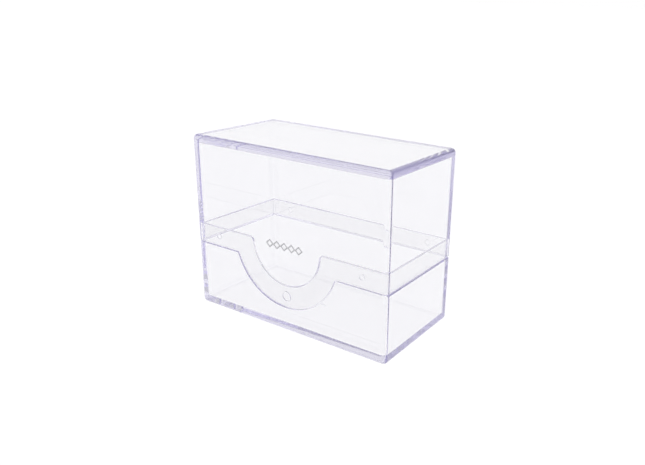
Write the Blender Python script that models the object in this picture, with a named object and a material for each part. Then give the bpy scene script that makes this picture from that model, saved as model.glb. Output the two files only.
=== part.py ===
"""Two-part clear deck box for trading cards: a base tray with a thumb notch and a lift-off lid.

Units are metres, +Z is up and the front faces -Y. The origin is the centre of the footprint, on
the surface that the box stands on. The lid overlaps the tray in a half-lap: the tray's thin rim
stands inside the lid's thin lip, so that the walls are flush inside and outside.
"""
import math

import bmesh
import bpy
from mathutils import Matrix, Vector

# Overall size
LENGTH = 0.1000            # along X
DEPTH = 0.0510             # along Y
HEIGHT = 0.0780            # along Z
EDGE_RADIUS = 0.0020       # rounding of the outer edges

# Walls
WALL = 0.0024              # side walls of both parts
FLOOR = 0.0035             # plate under the cards
CEILING = 0.0035           # plate over the cards
INNER_RADIUS = 0.0011      # upright corners of the card space

# Half-lap between the two parts
SHOULDER_Z = 0.0300        # step that the lid rests over
RIM_HEIGHT = 0.0083        # rim above the shoulder
RIM_WALL = 0.00105         # thickness of the rim
CLEARANCE = 0.0003         # gap between the two parts, everywhere

# Thumb notch in the front of the rim, and the band of rim around it
NOTCH_RADIUS = 0.0177
NOTCH_FILLET = 0.0018
BAND_WIDTH = 0.0094        # from the notch to the dip in the shoulder
DIP_FILLET = 0.0008

# Snap bumps on the rim, and the stud that holds the lid's tongue
BUMP_RADIUS = 0.0015
BUMP_INSET = 0.0122        # from the end of the box to a bump's centre
BUMP_DROP = 0.0039         # from the top of the rim to a bump's centre
STUD_RADIUS = 0.00235
BUMP_REACH = 0.0002        # how far bumps and stud stand out of the rim

# Printed mark on the lid's tongue: a row of hollow diamonds
MARK_COUNT = 5
MARK_WIDTH = 0.0194
MARK_HEIGHT = 0.0038
MARK_STROKE = 0.0006
MARK_OVERLAP = 0.0003      # neighbouring diamonds share their tips
INK_THICKNESS = 0.0001

# Fineness of the round shapes
EDGE_SEGMENTS = 4
CORNER_SEGMENTS = 4
ARC_SEGMENTS = 36
FILLET_SEGMENTS = 5
BUMP_SEGMENTS = 20

# Worked out from the sizes above
RIM_TOP = SHOULDER_Z + RIM_HEIGHT
LAP_DEPTH = WALL - RIM_WALL            # from the outer face to the rim
LIP_WALL = LAP_DEPTH - CLEARANCE       # thickness of the lid's lip
DIP_RADIUS = NOTCH_RADIUS + BAND_WIDTH
FRONT_Y = -DEPTH / 2
MARGIN = 0.0050                        # how far the cutters reach past what they cut


def clear_scene():
    for scene_object in list(bpy.data.objects):
        bpy.data.objects.remove(scene_object, do_unlink=True)


def make_material(name, colour, roughness, alpha, transmission=0.0):
    material = bpy.data.materials.new(name)
    material.use_nodes = True
    shader = material.node_tree.nodes["Principled BSDF"]
    shader.inputs["Base Color"].default_value = (*colour, 1.0)
    shader.inputs["Roughness"].default_value = roughness
    shader.inputs["Metallic"].default_value = 0.0
    shader.inputs["Alpha"].default_value = alpha
    shader.inputs["Transmission Weight"].default_value = transmission
    return material


def add_object(name, mesh_builder, guide=False):
    """Turn a bmesh into an object and free the bmesh. A guide only cuts other objects."""
    bmesh.ops.recalc_face_normals(mesh_builder, faces=mesh_builder.faces)
    mesh = bpy.data.meshes.new(name)
    mesh_builder.to_mesh(mesh)
    mesh_builder.free()
    new_object = bpy.data.objects.new(name, mesh)
    bpy.context.scene.collection.objects.link(new_object)
    if guide:
        new_object.hide_render = True
        new_object.display_type = "WIRE"
    return new_object


def extrude_outline(points, direction):
    """A closed prism on a flat outline of 3D points."""
    builder = bmesh.new()
    outline = builder.faces.new([builder.verts.new(point) for point in points])
    side = bmesh.ops.extrude_face_region(builder, geom=[outline])
    moved = [item for item in side["geom"] if isinstance(item, bmesh.types.BMVert)]
    bmesh.ops.translate(builder, verts=moved, vec=direction)
    return builder


def arc_points(centre, radius, start, end, segments):
    """Points in a plane along an arc, with both ends."""
    steps = [start + (end - start) * step / segments for step in range(segments + 1)]
    return [(centre[0] + radius * math.cos(a), centre[1] + radius * math.sin(a)) for a in steps]


def plan_prism(name, inset, radius, low, high):
    """A guide with the box's footprint, moved inwards by inset, from one height to another."""
    radius = max(radius, CLEARANCE)
    reach_x = LENGTH / 2 - inset - radius
    reach_y = DEPTH / 2 - inset - radius
    corners = [(reach_x, reach_y), (-reach_x, reach_y), (-reach_x, -reach_y), (reach_x, -reach_y)]
    outline = []
    for index, corner in enumerate(corners):
        start = index * math.pi / 2
        outline += arc_points(corner, radius, start, start + math.pi / 2, CORNER_SEGMENTS)
    builder = extrude_outline([(x, y, low) for x, y in outline], (0, 0, high - low))
    return add_object(name, builder, guide=True)


def block(name, low, high):
    """A plain box that is larger than the footprint on every side."""
    builder = bmesh.new()
    size = Vector((LENGTH + 2 * MARGIN, DEPTH + 2 * MARGIN, high - low))
    place = Matrix.Translation((0, 0, (low + high) / 2)) @ Matrix.Diagonal((*size, 1))
    bmesh.ops.create_cube(builder, size=1, matrix=place)
    return add_object(name, builder, guide=True)


def dip_outline(radius, line_z, fillet, offset, top):
    """A round dip that hangs from a level line, with its two upper corners rounded.

    The dip's circle is centred at the top of the rim. Offset shrinks the dip evenly, so that
    a tongue fits a notch with the same gap along the arc, the fillets and the line.
    """
    dip_radius = radius - offset
    corner_radius = fillet + offset
    corner_z = line_z - fillet
    reach = dip_radius + corner_radius
    corner_x = math.sqrt(reach ** 2 - (RIM_TOP - corner_z) ** 2)
    turn = math.asin((RIM_TOP - corner_z) / reach)
    right = arc_points((corner_x, corner_z), corner_radius, math.pi / 2, math.pi - turn,
                       FILLET_SEGMENTS)
    bottom = arc_points((0, RIM_TOP), dip_radius, -turn, turn - math.pi, ARC_SEGMENTS)
    left = [(-x, z) for x, z in reversed(right)]
    return [(corner_x, top), *right, *bottom[1:-1], *left, (-corner_x, top)]


def front_dip(name, radius, line_z, fillet, offset):
    """A guide of the dip's shape, from in front of the box to the middle of its depth."""
    outline = dip_outline(radius, line_z, fillet, offset, line_z + offset + MARGIN)
    points = [(x, FRONT_Y - MARGIN, z) for x, z in outline]
    return add_object(name, extrude_outline(points, (0, DEPTH / 2 + MARGIN, 0)), guide=True)


def rounded_block(name, low, high, rounded_z):
    """The solid footprint with its upright edges rounded, and those at rounded_z as well."""
    builder = bmesh.new()
    place = Matrix.Translation((0, 0, (low + high) / 2)) @ Matrix.Diagonal(
        (LENGTH, DEPTH, high - low, 1))
    bmesh.ops.create_cube(builder, size=1, matrix=place)
    chosen = []
    for edge in builder.edges:
        heights = [vertex.co.z for vertex in edge.verts]
        upright = abs(heights[0] - heights[1]) > MARGIN
        if upright or all(abs(z - rounded_z) < CLEARANCE for z in heights):
            chosen.append(edge)
    bmesh.ops.bevel(builder, geom=chosen, offset=EDGE_RADIUS, offset_type="OFFSET",
                    segments=EDGE_SEGMENTS, profile=0.5, affect="EDGES")
    return add_object(name, builder)


def combine(target, tool, operation):
    """Apply a Boolean with the exact solver and remove the tool."""
    modifier = target.modifiers.new(operation.lower(), "BOOLEAN")
    modifier.operation = operation
    modifier.solver = "EXACT"
    modifier.object = tool
    bpy.context.view_layer.update()
    evaluated = target.evaluated_get(bpy.context.evaluated_depsgraph_get())
    old_mesh = target.data
    target.data = bpy.data.meshes.new_from_object(evaluated)
    target.data.name = target.name
    target.modifiers.clear()
    bpy.data.meshes.remove(old_mesh)
    bpy.data.objects.remove(tool, do_unlink=True)


def round_button(name, centre_x, centre_z, radius, facing):
    """A low round button on the rim's outer face, which faces -Y or +Y."""
    rim_y = DEPTH / 2 - LAP_DEPTH
    root = RIM_WALL / 2
    builder = bmesh.new()
    sections = ((rim_y - root, 1.0), (rim_y + BUMP_REACH / 2, 1.0), (rim_y + BUMP_REACH, 0.7))
    circle = arc_points((centre_x, centre_z), radius, 0, 2 * math.pi, BUMP_SEGMENTS)[:-1]
    rings = []
    for y, share in sections:
        rings.append([
            builder.verts.new((centre_x + (x - centre_x) * share, facing * y,
                               centre_z + (z - centre_z) * share)) for x, z in circle])
    for near, far in zip(rings, rings[1:]):
        for index in range(BUMP_SEGMENTS):
            after = (index + 1) % BUMP_SEGMENTS
            builder.faces.new((near[index], near[after], far[after], far[index]))
    builder.faces.new(rings[0])
    builder.faces.new(rings[-1])
    return add_object(name, builder, guide=True)


def finish(part, material):
    """Give a part its material and shade its round faces smooth."""
    part.data.materials.clear()
    part.data.materials.append(material)
    part.data.shade_smooth()
    part.data.set_sharp_from_angle(angle=math.radians(35))


def build_base_tray(material):
    tray = rounded_block("base_tray", 0, RIM_TOP, 0)
    combine(tray, plan_prism("card_space", WALL, INNER_RADIUS, FLOOR, RIM_TOP + MARGIN),
            "DIFFERENCE")
    lap = block("lap_cut", SHOULDER_Z, RIM_TOP + MARGIN)
    combine(lap, front_dip("dip", DIP_RADIUS, SHOULDER_Z, DIP_FILLET, 0), "UNION")
    rim = plan_prism("rim_keep", LAP_DEPTH, EDGE_RADIUS - LAP_DEPTH, -MARGIN,
                     RIM_TOP + 2 * MARGIN)
    combine(lap, rim, "DIFFERENCE")
    combine(tray, lap, "DIFFERENCE")
    combine(tray, front_dip("notch", NOTCH_RADIUS, RIM_TOP, NOTCH_FILLET, 0), "DIFFERENCE")
    for facing in (-1, 1):
        for side in (-1, 1):
            bump_x = side * (LENGTH / 2 - BUMP_INSET)
            bump = round_button("bump", bump_x, RIM_TOP - BUMP_DROP, BUMP_RADIUS, facing)
            combine(tray, bump, "UNION")
    stud_z = RIM_TOP - NOTCH_RADIUS - BAND_WIDTH / 2
    combine(tray, round_button("stud", 0, stud_z, STUD_RADIUS, -1), "UNION")
    finish(tray, material)
    return tray


def build_lid(material):
    lid = rounded_block("lid", 0, HEIGHT, HEIGHT)
    combine(lid, plan_prism("card_space", WALL, INNER_RADIUS, -MARGIN, HEIGHT - CEILING),
            "DIFFERENCE")
    lip_space = plan_prism("lip_space", LIP_WALL, EDGE_RADIUS - LIP_WALL, -MARGIN,
                           RIM_TOP + CLEARANCE)
    combine(lip_space, front_dip("plug", NOTCH_RADIUS, RIM_TOP, NOTCH_FILLET, CLEARANCE),
            "DIFFERENCE")
    combine(lid, lip_space, "DIFFERENCE")
    below = block("below", -MARGIN, SHOULDER_Z + CLEARANCE)
    combine(below, front_dip("tongue", DIP_RADIUS, SHOULDER_Z, DIP_FILLET, CLEARANCE),
            "DIFFERENCE")
    combine(lid, below, "DIFFERENCE")
    finish(lid, material)
    return lid


def diamond_prism(centre_x, centre_z, width, height, low_y, high_y):
    points = [(centre_x - width / 2, low_y, centre_z), (centre_x, low_y, centre_z - height / 2),
              (centre_x + width / 2, low_y, centre_z), (centre_x, low_y, centre_z + height / 2)]
    return extrude_outline(points, (0, high_y - low_y, 0))


def build_front_print(material):
    """The ink of the mark, a hair in front of the tongue's face."""
    back = FRONT_Y - CLEARANCE
    front = back - INK_THICKNESS
    step = (MARK_WIDTH - MARK_OVERLAP) / MARK_COUNT
    width = step + MARK_OVERLAP
    slant = math.hypot(width, MARK_HEIGHT)
    inner_width = width - 2 * MARK_STROKE * slant / MARK_HEIGHT
    inner_height = MARK_HEIGHT - 2 * MARK_STROKE * slant / width
    mark = None
    for index in range(MARK_COUNT):
        centre_x = (index - (MARK_COUNT - 1) / 2) * step
        frame = add_object("front_print", diamond_prism(
            centre_x, RIM_TOP, width, MARK_HEIGHT, front, back))
        hole = diamond_prism(centre_x, RIM_TOP, inner_width, inner_height, front - MARGIN,
                             back + MARGIN)
        combine(frame, add_object("hole", hole, guide=True), "DIFFERENCE")
        if mark is None:
            mark = frame
        else:
            combine(mark, frame, "UNION")
    mark.name = "front_print"
    finish(mark, material)
    return mark


def place_on_lift_axis(parts):
    """The lid and its print hang on an empty on the line along which the lid lifts off."""
    axis = bpy.data.objects.new("lid_lift_axis", None)
    axis.location = (0, 0, SHOULDER_Z)
    bpy.context.scene.collection.objects.link(axis)
    bpy.context.view_layer.update()
    for part in parts:
        part.parent = axis
        part.matrix_parent_inverse = axis.matrix_world.inverted()


def build_deck_box():
    clear_scene()
    clear_plastic = make_material("clear_plastic", (0.93, 0.92, 0.99), 0.06, 0.35, 1.0)
    print_ink = make_material("print_ink", (0.45, 0.45, 0.47), 0.45, 1.0)
    build_base_tray(clear_plastic)
    lid = build_lid(clear_plastic)
    front_print = build_front_print(print_ink)
    place_on_lift_axis([lid, front_print])


build_deck_box()
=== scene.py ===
"""Looks of the clear deck box: a moulded tray, a lift-off lid and the mark printed on the lid.

Both mouldings are rebuilt with the fine edges and tool marks of a real moulding, inside the
frame's own sizes, and take the place of the frame's plain solids. Metres, +Z up.
"""

import math

import bpy
from mathutils import Matrix, Vector


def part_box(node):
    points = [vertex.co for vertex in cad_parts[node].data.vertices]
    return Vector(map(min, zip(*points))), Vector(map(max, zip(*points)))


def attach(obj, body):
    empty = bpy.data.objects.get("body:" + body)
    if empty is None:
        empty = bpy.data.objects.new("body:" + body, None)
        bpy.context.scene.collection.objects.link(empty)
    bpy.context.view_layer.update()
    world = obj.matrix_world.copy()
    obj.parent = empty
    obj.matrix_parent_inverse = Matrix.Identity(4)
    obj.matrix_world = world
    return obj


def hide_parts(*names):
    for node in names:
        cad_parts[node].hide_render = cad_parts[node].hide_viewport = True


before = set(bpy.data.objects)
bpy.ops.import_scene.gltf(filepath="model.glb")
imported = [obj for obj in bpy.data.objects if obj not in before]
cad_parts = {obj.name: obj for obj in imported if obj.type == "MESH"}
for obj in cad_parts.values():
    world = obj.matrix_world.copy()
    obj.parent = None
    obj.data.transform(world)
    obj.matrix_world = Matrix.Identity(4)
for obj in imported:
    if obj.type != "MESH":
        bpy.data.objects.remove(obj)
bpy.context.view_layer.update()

# Sizes of the box, from the frame
TRAY_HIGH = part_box("base_tray")[1]
LID_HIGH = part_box("lid")[1]
PRINT_LOW, PRINT_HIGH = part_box("front_print")
HALF_LENGTH = TRAY_HIGH[0]
HALF_DEPTH = TRAY_HIGH[1]
HEIGHT = LID_HIGH[2]
RIM_TOP = TRAY_HIGH[2]

# Sizes of the mouldings, as in the design
EDGE_RADIUS = 0.0020
WALL = 0.0024
FLOOR = 0.0035
CEILING = 0.0035
CORNER_RADIUS = 0.00105
SHOULDER_Z = 0.0300
RIM_WALL = 0.00105
CLEARANCE = 0.0003
NOTCH_RADIUS = 0.0177
NOTCH_FILLET = 0.0018
DIP_RADIUS = 0.0271
DIP_FILLET = 0.0008
LAP_DEPTH = WALL - RIM_WALL
LIP_WALL = LAP_DEPTH - CLEARANCE

# Fine work that a mould leaves
BREAK_WIDTH = 0.00022       # rounding of every sharp edge
SEAM_RADIUS = 0.00070       # rounding of the tray along the outer seam
LIP_RADIUS = 0.00035        # rounding of the lid along the same seam
BUMP_RADIUS = 0.0015
BUMP_FROM_END = 0.0122
BUMP_BELOW_TOP = 0.0039
BUMP_X = HALF_LENGTH - BUMP_FROM_END
BUMP_Z = RIM_TOP - BUMP_BELOW_TOP
STUD_RADIUS = 0.00235
STUD_Z = RIM_TOP - (NOTCH_RADIUS + DIP_RADIUS) / 2
RIDGE_RADIUS = 0.00026      # half-round ridge of the snap rings
GATE_RADIUS = 0.0016
GATE_DEPTH = 0.0004
MARGIN = 0.0050             # how far a cutting tool reaches past what it cuts

# Closeness, to tell which points lie on a line or on the skin
TOUCH = 0.00001
DIP_TOUCH = 0.0001

# Fineness
EDGE_STEPS = 10
CORNER_STEPS = 8
ARC_STEPS = 160
SMALL_ARC_STEPS = 48
RIDGE_STEPS = 20
BREAK_STEPS = 3
SEAM_STEPS = 5
FLAT_ANGLE = math.radians(0.2)      # faces that meet at less than this are joined
SHARP_ANGLE = math.radians(32)      # edges that turn by more than this are rounded
LARGE_FACE_WEIGHT = 100             # the large faces alone steer the normals

# The clear plastic
PLASTIC_TINT = (0.957, 0.956, 0.960, 1)
PLASTIC_INDEX = 1.49                # how strongly it refracts
TONER_TINT = (0.42, 0.365, 0.69, 1)
TONER_DENSITY = 7.0
POLISH = 0.014                      # roughness where the face is cleanest
FLOW_SCALE = 38.0
HAZE_SCALE = 90.0
HAZE_SHARE = 0.06
HAIRLINE_STRETCH = (30, 420, 900)
HAIRLINE_TURN = (0.2, 0.35, 0.1)
HAIRLINE_SHARE = 0.25
RELIEF = 0.00002                    # height of the waves in the plastic and of the ink's grain

# The ink
INK_DARK = (0.36, 0.36, 0.375, 1)
INK_LIGHT = (0.46, 0.46, 0.475, 1)
COAT_SCALE = 2200.0
PATCH_SCALE = 350.0

# The floor
PAPER_DARK = (0.955, 0.955, 0.96, 1)
PAPER_LIGHT = (0.965, 0.965, 0.97, 1)
PAPER_SCALE = 3.0
FLOOR_RADIUS = 40
FLOOR_STEPS = 64
FLOOR_Z = -0.0002

# The printed mark
MARK_COUNT = 5
MARK_STROKE = 0.00052
MARK_TIP_OVERLAP = 0.0003
INK_GAP = 0.00002
INK_FILM = 0.00005

# The camera
CAMERA_PLACE = Vector((0.1667, -0.2144, 0.1353))
CAMERA_AZIMUTH = math.radians(31.192)
CAMERA_ELEVATION = math.radians(19.736)
CAMERA_ROLL = math.radians(2.135)
CAMERA_LENS = 36.604
CAMERA_SHIFT = -0.1124
CAMERA_NEAREST = 0.01

# The surroundings; directions are shares of right, front and up
TOWARDS_CAMERA = (0.53, 0.85, 0)
GREY_LEAN = 0.88                    # how much sooner the grey begins on the camera's side
SKY_TONES = [(0.0, (1, 1, 1, 1)), (0.09, (1, 1, 1, 1)),
             (0.34, (0.7, 0.7, 0.71, 1)), (1.0, (0.62, 0.62, 0.63, 1))]
TOWARDS_BANK = (0.497, 0.348, 0.795)
BANK_TONES = [(0.60, (0, 0, 0, 1)), (0.68, (0.81, 0.81, 0.81, 1))]
BOUNCES = 96                        # many, so that light isn't lost between the clear walls
SEE_THROUGH_BOUNCES = 16


# ---------------------------------------------------------------- hand tools

def pick(piece):
    """Make one piece the only one selected, and the active one."""
    bpy.ops.object.select_all(action="DESELECT")
    piece.select_set(True)
    bpy.context.view_layer.objects.active = piece


def settle(piece, name):
    """Put a new piece's place, turn and scale into its mesh."""
    pick(piece)
    bpy.ops.object.transform_apply(location=True, rotation=True, scale=True)
    piece.name = name
    piece.data.name = name
    return piece


def block(name, low, high):
    middle = [(a + b) / 2 for a, b in zip(low, high)]
    size = [b - a for a, b in zip(low, high)]
    bpy.ops.object.select_all(action="DESELECT")
    bpy.ops.mesh.primitive_cube_add(size=1, location=middle, scale=size)
    return settle(bpy.context.object, name)


def rod(name, x, z, radius, low_y, high_y, steps):
    """A round bar along Y."""
    bpy.ops.object.select_all(action="DESELECT")
    bpy.ops.mesh.primitive_cylinder_add(
        vertices=steps, radius=radius, depth=high_y - low_y,
        location=(x, (low_y + high_y) / 2, z), rotation=(math.pi / 2, 0, 0))
    return settle(bpy.context.object, name)


def disc(name, x, y, low_z, high_z, radius):
    """A round bar along Z."""
    bpy.ops.object.select_all(action="DESELECT")
    bpy.ops.mesh.primitive_cylinder_add(
        vertices=SMALL_ARC_STEPS, radius=radius, depth=high_z - low_z,
        location=(x, y, (low_z + high_z) / 2))
    return settle(bpy.context.object, name)


def snap_ring(name, x, z, radius, facing):
    """A round ridge on the rim's outer face; half of it is sunk in the rim."""
    bpy.ops.object.select_all(action="DESELECT")
    bpy.ops.mesh.primitive_torus_add(
        major_segments=SMALL_ARC_STEPS, minor_segments=RIDGE_STEPS,
        major_radius=radius - RIDGE_RADIUS, minor_radius=RIDGE_RADIUS,
        location=(x, facing * (HALF_DEPTH - LAP_DEPTH), z), rotation=(math.pi / 2, 0, 0))
    return settle(bpy.context.object, name)


def carve(piece, tool, operation="DIFFERENCE"):
    """Cut, join or keep with a tool, and put the tool away."""
    cut = piece.modifiers.new("cut", "BOOLEAN")
    cut.operation = operation
    cut.solver = "EXACT"
    cut.object = tool
    pick(piece)
    bpy.ops.object.modifier_apply(modifier=cut.name)
    bpy.data.objects.remove(tool, do_unlink=True)


def round_edges(piece, wanted, radius, steps):
    """Round the edges whose two ends pass a test."""
    pick(piece)
    bpy.ops.object.mode_set(mode="EDIT")
    bpy.ops.mesh.select_mode(type="EDGE")
    bpy.ops.mesh.select_all(action="DESELECT")
    bpy.ops.object.mode_set(mode="OBJECT")
    for edge in piece.data.edges:
        start, end = (piece.data.vertices[index].co for index in edge.vertices)
        edge.select = wanted(start, end)
    bpy.ops.object.mode_set(mode="EDIT")
    bpy.ops.mesh.bevel(offset=radius, offset_type="OFFSET", segments=steps, profile=0.5,
                       affect="EDGES", clamp_overlap=False)
    bpy.ops.object.mode_set(mode="OBJECT")


def upright(start, end):
    return abs(start.z - end.z) > MARGIN


def level_at(height):
    """A test for the edges of a block that lie at one height."""
    return lambda start, end: (abs(start.z - height) < TOUCH
                               and abs(end.z - height) < TOUCH)


def either(first, second):
    return lambda start, end: first(start, end) or second(start, end)


def skin_depth(point):
    """How far a point lies inside the box's outline, as seen from above."""
    over_x = abs(point.x) - (HALF_LENGTH - EDGE_RADIUS)
    over_y = abs(point.y) - (HALF_DEPTH - EDGE_RADIUS)
    outside = math.hypot(max(over_x, 0), max(over_y, 0))
    return EDGE_RADIUS - outside - min(max(over_x, over_y), 0)


def seam_at(line_z):
    """A test for the edges of the outer skin along the seam, whose level parts are at line_z."""
    def on_seam(point):
        level = abs(point.z - line_z) < TOUCH
        in_dip = (abs(point.x) < DIP_RADIUS + 2 * DIP_FILLET
                  and RIM_TOP - DIP_RADIUS < point.z + DIP_TOUCH
                  and point.y < 0 and point.z < line_z)
        return skin_depth(point) < TOUCH and (level or in_dip)
    return lambda start, end: on_seam(start) and on_seam(end)


def footprint(name, inset, radius, low_z, high_z):
    """A block on the box's footprint, moved in by inset, with round upright corners."""
    low = (-HALF_LENGTH + inset, -HALF_DEPTH + inset, low_z)
    high = (HALF_LENGTH - inset, HALF_DEPTH - inset, high_z)
    post = block(name, low, high)
    round_edges(post, upright, radius, CORNER_STEPS)
    return post


def dip_tool(name, radius, line_z, fillet, gap):
    """The thumb dip's shape through the front wall, shrunk by a gap.

    A round bar, and a block on top whose two lower corners are scooped out, so that the dip
    flares into the level line with a round corner on each side.
    """
    low_y = -HALF_DEPTH - MARGIN
    centre_z = line_z - fillet
    reach = radius + fillet
    corner_x = math.sqrt(reach ** 2 - (RIM_TOP - centre_z) ** 2)
    share = (radius - gap) / reach
    join_z = RIM_TOP + (centre_z - RIM_TOP) * share
    flare = block(name, (-corner_x, low_y, join_z), (corner_x, 0, line_z + gap + MARGIN))
    for side in (-1, 1):
        scoop = rod("scoop", side * corner_x, centre_z, fillet + gap, low_y - MARGIN, MARGIN,
                    SMALL_ARC_STEPS)
        carve(flare, scoop)
    carve(flare, rod("dip", 0, RIM_TOP, radius - gap, low_y, 0, ARC_STEPS), "UNION")
    return flare


def clean(piece):
    """Join the splinters that the cuts leave in the flat faces."""
    pick(piece)
    bpy.ops.object.mode_set(mode="EDIT")
    bpy.ops.mesh.select_all(action="SELECT")
    bpy.ops.mesh.remove_doubles(threshold=TOUCH)
    bpy.ops.mesh.dissolve_limited(angle_limit=FLAT_ANGLE)
    bpy.ops.object.mode_set(mode="OBJECT")


def break_edges(piece):
    """Round every edge that is still sharp."""
    pick(piece)
    edge_break = piece.modifiers.new("edge_break", "BEVEL")
    edge_break.width = BREAK_WIDTH
    edge_break.segments = BREAK_STEPS
    edge_break.limit_method = "ANGLE"
    edge_break.angle_limit = SHARP_ANGLE
    edge_break.use_clamp_overlap = False
    edge_break.miter_outer = "MITER_ARC"
    bpy.ops.object.modifier_apply(modifier=edge_break.name)


def polish(piece):
    """Shade the round faces smooth and let the flat faces keep their own normals."""
    pick(piece)
    bpy.ops.object.shade_smooth()
    weighted = piece.modifiers.new("weighted", "WEIGHTED_NORMAL")
    weighted.mode = "FACE_AREA"
    weighted.weight = LARGE_FACE_WEIGHT
    bpy.ops.object.modifier_apply(modifier=weighted.name)


# ---------------------------------------------------------------- the mouldings

def mould_tray():
    tray = block("tray_moulding", (-HALF_LENGTH, -HALF_DEPTH, 0),
                 (HALF_LENGTH, HALF_DEPTH, RIM_TOP))
    round_edges(tray, either(upright, level_at(0)), EDGE_RADIUS, EDGE_STEPS)

    cards = footprint("cards", WALL, CORNER_RADIUS, FLOOR, RIM_TOP + MARGIN)
    carve(tray, cards)

    lap = block("lap", (-HALF_LENGTH - MARGIN, -HALF_DEPTH - MARGIN, SHOULDER_Z),
                (HALF_LENGTH + MARGIN, HALF_DEPTH + MARGIN, RIM_TOP + MARGIN))
    carve(lap, dip_tool("dip", DIP_RADIUS, SHOULDER_Z, DIP_FILLET, 0), "UNION")
    carve(lap, footprint("rim", LAP_DEPTH, EDGE_RADIUS - LAP_DEPTH, -MARGIN,
                         RIM_TOP + 2 * DIP_RADIUS))
    carve(tray, lap)
    carve(tray, dip_tool("notch", NOTCH_RADIUS, RIM_TOP, NOTCH_FILLET, 0))

    carve(tray, disc("gate", 0, 0, -MARGIN, GATE_DEPTH, GATE_RADIUS))
    clean(tray)
    round_edges(tray, seam_at(SHOULDER_Z), SEAM_RADIUS, SEAM_STEPS)
    break_edges(tray)

    for facing in (-1, 1):
        for side in (-1, 1):
            ring = snap_ring("snap_ring", side * BUMP_X, BUMP_Z, BUMP_RADIUS, facing)
            carve(tray, ring, "UNION")
    carve(tray, snap_ring("stud_ring", 0, STUD_Z, STUD_RADIUS, -1), "UNION")
    polish(tray)
    return tray


def mould_lid():
    lid = block("lid_moulding", (-HALF_LENGTH, -HALF_DEPTH, 0),
                (HALF_LENGTH, HALF_DEPTH, HEIGHT))
    round_edges(lid, either(upright, level_at(HEIGHT)), EDGE_RADIUS, EDGE_STEPS)

    cards = footprint("cards", WALL, CORNER_RADIUS, -MARGIN, HEIGHT - CEILING)
    carve(lid, cards)

    lip_space = footprint("lip_space", LIP_WALL, EDGE_RADIUS - LIP_WALL, -MARGIN,
                          RIM_TOP + CLEARANCE)
    carve(lip_space, dip_tool("plug", NOTCH_RADIUS, RIM_TOP, NOTCH_FILLET, CLEARANCE))
    carve(lid, lip_space)

    below = block("below", (-HALF_LENGTH - MARGIN, -HALF_DEPTH - MARGIN, -MARGIN),
                  (HALF_LENGTH + MARGIN, HALF_DEPTH + MARGIN, SHOULDER_Z + CLEARANCE))
    carve(below, dip_tool("tongue", DIP_RADIUS, SHOULDER_Z, DIP_FILLET, CLEARANCE))
    carve(lid, below)
    clean(lid)
    round_edges(lid, seam_at(SHOULDER_Z + CLEARANCE), LIP_RADIUS, SEAM_STEPS)
    break_edges(lid)
    polish(lid)
    return lid


# ---------------------------------------------------------------- the printed mark

def print_mark():
    """A row of hollow diamonds that share their tips, as one film of ink on the lid."""
    low_x, high_x = PRINT_LOW[0], PRINT_HIGH[0]
    middle_z = (PRINT_LOW[2] + PRINT_HIGH[2]) / 2
    tall = PRINT_HIGH[2] - PRINT_LOW[2]
    step = (high_x - low_x - MARK_TIP_OVERLAP) / MARK_COUNT
    wide = step + MARK_TIP_OVERLAP
    slant = math.hypot(wide, tall)
    inner = (wide - 2 * MARK_STROKE * slant / tall, tall - 2 * MARK_STROKE * slant / wide)
    back = -HALF_DEPTH - INK_GAP
    front = back - INK_FILM
    mark = None
    for index in range(MARK_COUNT):
        x = low_x + wide / 2 + index * step
        frame_piece = diamond("diamond", x, middle_z, (wide, tall), front, back)
        carve(frame_piece, diamond("hole", x, middle_z, inner, front - MARGIN, back + MARGIN))
        if mark is None:
            mark = frame_piece
        else:
            carve(mark, frame_piece, "UNION")
    mark.name = "printed_mark"
    mark.data.name = "printed_mark"
    return mark


def diamond(name, x, z, size, low_y, high_y):
    bpy.ops.object.select_all(action="DESELECT")
    bpy.ops.mesh.primitive_cylinder_add(
        vertices=4, radius=0.5, depth=high_y - low_y,
        location=(x, (low_y + high_y) / 2, z), rotation=(math.pi / 2, 0, 0),
        scale=(size[0], size[1], 1))
    return settle(bpy.context.object, name)


# ---------------------------------------------------------------- shading

class Wire:
    """One output of a node, which takes part in plain arithmetic."""

    def __init__(self, shop, socket):
        self.shop = shop
        self.socket = socket

    def maths(self, operation, first, second):
        node = self.shop.node("ShaderNodeMath", {"operation": operation}, {0: first, 1: second})
        return node[0]

    def __add__(self, other):
        return self.maths("ADD", self, other)

    def __radd__(self, other):
        return self.maths("ADD", other, self)

    def __sub__(self, other):
        return self.maths("SUBTRACT", self, other)

    def __rsub__(self, other):
        return self.maths("SUBTRACT", other, self)

    def __mul__(self, other):
        return self.maths("MULTIPLY", self, other)

    def __rmul__(self, other):
        return self.maths("MULTIPLY", other, self)

    def __pow__(self, other):
        return self.maths("POWER", self, other)

    def __rpow__(self, other):
        return self.maths("POWER", other, self)


class Outputs:
    """The outputs of a node, by number or by name."""

    def __init__(self, shop, node):
        self.shop = shop
        self.node = node

    def __getitem__(self, key):
        return Wire(self.shop, self.node.outputs[key])


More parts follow.
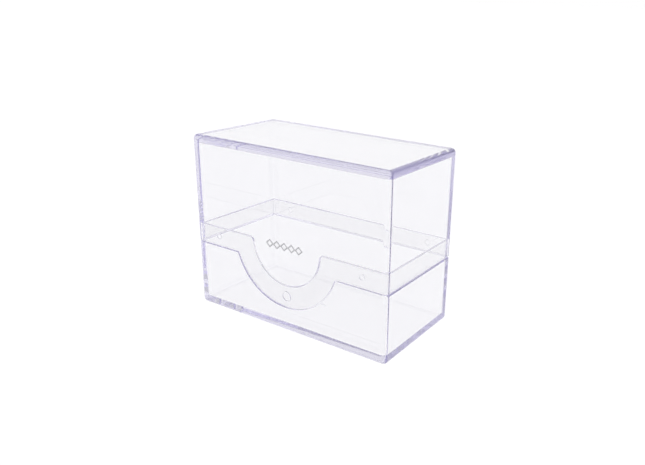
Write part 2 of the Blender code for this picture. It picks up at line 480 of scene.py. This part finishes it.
class NodeShop:
    """Where nodes are made and wired, in an emptied node tree."""

    def __init__(self, owner):
        owner.use_nodes = True
        self.tree = owner.node_tree
        self.tree.nodes.clear()

    def node(self, kind, settings=None, inputs=None):
        made = self.tree.nodes.new(kind)
        for key, value in (settings or {}).items():
            if key == "ramp":
                self.set_ramp(made.color_ramp, value)
            else:
                setattr(made, key, value)
        for key, value in (inputs or {}).items():
            if isinstance(value, Wire):
                self.tree.links.new(value.socket, made.inputs[key])
            else:
                made.inputs[key].default_value = value
        return Outputs(self, made)

    def set_ramp(self, ramp, stops):
        """Stops are pairs of a place and a colour."""
        while len(ramp.elements) > 1:
            ramp.elements.remove(ramp.elements[-1])
        ramp.elements[0].position, ramp.elements[0].color = stops[0]
        for place, colour in stops[1:]:
            ramp.elements.new(place).color = colour

    def tone(self, stops, factor):
        """The colours of a ramp, picked by a value."""
        return self.node("ShaderNodeValToRGB", {"ramp": stops}, {"Fac": factor})["Color"]


class Finish(NodeShop):
    """One material and the nodes in it."""

    def __init__(self, name):
        self.material = bpy.data.materials.new(name)
        super().__init__(self.material)

    def place(self, scale=(1, 1, 1), turn=(0, 0, 0)):
        """Object coordinates, stretched and turned."""
        where = self.node("ShaderNodeTexCoord")["Object"]
        mapping = self.node("ShaderNodeMapping", None,
                            {"Vector": where, "Scale": scale, "Rotation": turn})
        return mapping["Vector"]

    def noise(self, where, scale, detail=2.0, roughness=0.5):
        return self.node("ShaderNodeTexNoise", None,
                         {"Vector": where, "Scale": scale, "Detail": detail,
                          "Roughness": roughness})["Fac"]

    def output(self, surface, volume=None):
        links = {"Surface": surface}
        if volume is not None:
            links["Volume"] = volume
        self.node("ShaderNodeOutputMaterial", None, links)
        return self.material


def clear_plastic():
    """Polished clear plastic with a faint violet toner that shows where it is seen end on."""
    shop = Finish("clear_plastic")
    where = shop.place()
    flow = shop.noise(where, FLOW_SCALE, 1.0)
    haze = shop.noise(where, HAZE_SCALE, 4.0, 0.6) ** 4
    hairline = shop.noise(shop.place(HAIRLINE_STRETCH, HAIRLINE_TURN), 1.0, 1.0) ** 12
    roughness = POLISH + haze * HAZE_SHARE + hairline * HAIRLINE_SHARE
    wave = shop.node("ShaderNodeBump", None,
                     {"Height": flow, "Strength": 1.0, "Distance": RELIEF})["Normal"]
    plastic = shop.node("ShaderNodeBsdfPrincipled", None, {
        "Base Color": PLASTIC_TINT, "Roughness": roughness, "IOR": PLASTIC_INDEX,
        "Transmission Weight": 1.0, "Normal": wave})["BSDF"]
    toner = shop.node("ShaderNodeVolumeAbsorption", None, {
        "Color": TONER_TINT, "Density": TONER_DENSITY})["Volume"]
    return shop.output(plastic, toner)


def grey_ink():
    """Thin grey ink with a slightly uneven coat."""
    shop = Finish("grey_ink")
    where = shop.place()
    coat = shop.noise(where, COAT_SCALE, 3.0, 0.6)
    patch = shop.noise(where, PATCH_SCALE, 2.0)
    tone = shop.tone([(0.3, INK_DARK), (0.7, INK_LIGHT)], coat * 0.6 + patch * 0.4)
    grain = shop.node("ShaderNodeBump", None,
                      {"Height": coat, "Strength": 0.4, "Distance": RELIEF})["Normal"]
    ink = shop.node("ShaderNodeBsdfPrincipled", None, {
        "Base Color": tone, "Roughness": 0.35 + patch * 0.25, "Normal": grain})["BSDF"]
    return shop.output(ink)


def pale_floor():
    shop = Finish("pale_floor")
    grain = shop.noise(shop.place(), PAPER_SCALE, 2.0)
    tone = shop.tone([(0.3, PAPER_DARK), (0.7, PAPER_LIGHT)], grain)
    paper = shop.node("ShaderNodeBsdfPrincipled", None, {
        "Base Color": tone, "Roughness": 1.0, "Specular IOR Level": 0.0})["BSDF"]
    return shop.output(paper)


def dress(piece, material, slot, body, *nodes):
    """Give a piece its finish and its body, and hide the frame nodes that it stands for."""
    piece.data.materials.clear()
    piece.data.materials.append(material)
    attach(piece, body)
    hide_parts(*nodes)


def let_light_through(piece):
    """Clear plastic hardly darkens a white table, so the table's own light passes through it."""
    piece.visible_diffuse = False


# ---------------------------------------------------------------- the stage

def set_camera():
    level = Vector((math.cos(CAMERA_AZIMUTH), math.sin(CAMERA_AZIMUTH), 0))
    ahead = Vector((-math.sin(CAMERA_AZIMUTH) * math.cos(CAMERA_ELEVATION),
                    math.cos(CAMERA_AZIMUTH) * math.cos(CAMERA_ELEVATION),
                    -math.sin(CAMERA_ELEVATION)))
    above = level.cross(ahead)
    right = math.cos(CAMERA_ROLL) * level + math.sin(CAMERA_ROLL) * above
    up = math.cos(CAMERA_ROLL) * above - math.sin(CAMERA_ROLL) * level
    camera = bpy.data.objects.new("camera", bpy.data.cameras.new("camera"))
    bpy.context.scene.collection.objects.link(camera)
    camera.matrix_world = Matrix.Translation(CAMERA_PLACE) @ Matrix(
        (right, up, -ahead)).transposed().to_4x4()
    camera.data.lens = CAMERA_LENS
    camera.data.shift_x = CAMERA_SHIFT
    camera.data.clip_start = CAMERA_NEAREST
    bpy.context.scene.camera = camera


def set_floor():
    bpy.ops.object.select_all(action="DESELECT")
    bpy.ops.mesh.primitive_circle_add(vertices=FLOOR_STEPS, radius=FLOOR_RADIUS,
                                      fill_type="NGON", location=(0, 0, FLOOR_Z))
    floor = settle(bpy.context.object, "floor")
    floor.data.materials.append(pale_floor())


def along(gaze, direction):
    """How far a line of sight, split into X, Y and Z, goes in a direction."""
    right, front, up = direction
    return gaze["X"] * right - gaze["Y"] * front + gaze["Z"] * up


def set_light():
    """A white studio that turns grey overhead, with a far soft bank of lamps high on the right.

    All the light comes from the surroundings, so the clear pieces cast no shadow on the table.
    """
    world = bpy.data.worlds.new("studio")
    shop = NodeShop(world)
    sight = shop.node("ShaderNodeTexCoord")["Generated"]
    gaze = shop.node("ShaderNodeSeparateXYZ", None, {"Vector": sight})
    height = gaze["Z"] * (along(gaze, TOWARDS_CAMERA) * GREY_LEAN + 1.0)
    sky = shop.node("ShaderNodeBackground", None, {
        "Color": shop.tone(SKY_TONES, height), "Strength": 1.0})["Background"]
    bank = shop.node("ShaderNodeBackground", None, {
        "Color": shop.tone(BANK_TONES, along(gaze, TOWARDS_BANK)), "Strength": 1.0})["Background"]
    both = shop.node("ShaderNodeAddShader", None, {0: sky, 1: bank})["Shader"]
    shop.node("ShaderNodeOutputWorld", None, {"Surface": both})
    world.cycles.sampling_method = "NONE"

    scene = bpy.context.scene
    scene.world = world
    scene.view_settings.view_transform = "Standard"
    scene.cycles.max_bounces = BOUNCES
    scene.cycles.transmission_bounces = BOUNCES
    scene.cycles.glossy_bounces = BOUNCES
    scene.cycles.transparent_max_bounces = SEE_THROUGH_BOUNCES


set_camera()
set_floor()
set_light()

plastic = clear_plastic()
tray = mould_tray()
dress(tray, plastic, "clear_plastic", "tray", "base_tray")
lid = mould_lid()
dress(lid, plastic, "clear_plastic", "lid", "lid")
mark = print_mark()
dress(mark, grey_ink(), "print_ink", "lid", "front_print")
for piece in (tray, lid, mark):
    let_light_through(piece)
